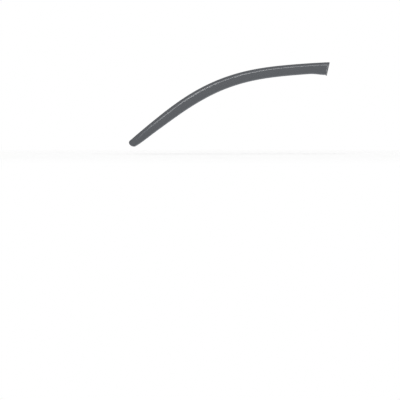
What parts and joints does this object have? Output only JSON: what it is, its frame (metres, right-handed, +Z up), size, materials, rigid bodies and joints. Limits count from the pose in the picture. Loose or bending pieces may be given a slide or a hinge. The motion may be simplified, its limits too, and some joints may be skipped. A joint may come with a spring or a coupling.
{
  "type": "window rain deflector",
  "caption": "Smoked acrylic rain deflector that pushes into the window channel of a car's front door and shields the gap above the glass.",
  "frame": {"origin": "Flange root line at the middle of the run, on the outer face of the door glass", "axes": "+X to the rear of the car, +Y into the car, +Z up, as the deflector sits in a closed door"},
  "size_m": [0.787, 0.0914, 0.3315],
  "materials": {
    "smoked_acrylic": "dark smoked cast acrylic, thermoformed and polished, nearly opaque"
  },
  "bodies": {
    "root": {"deflector_shell": "smoked_acrylic"}
  },
  "joints": []
}
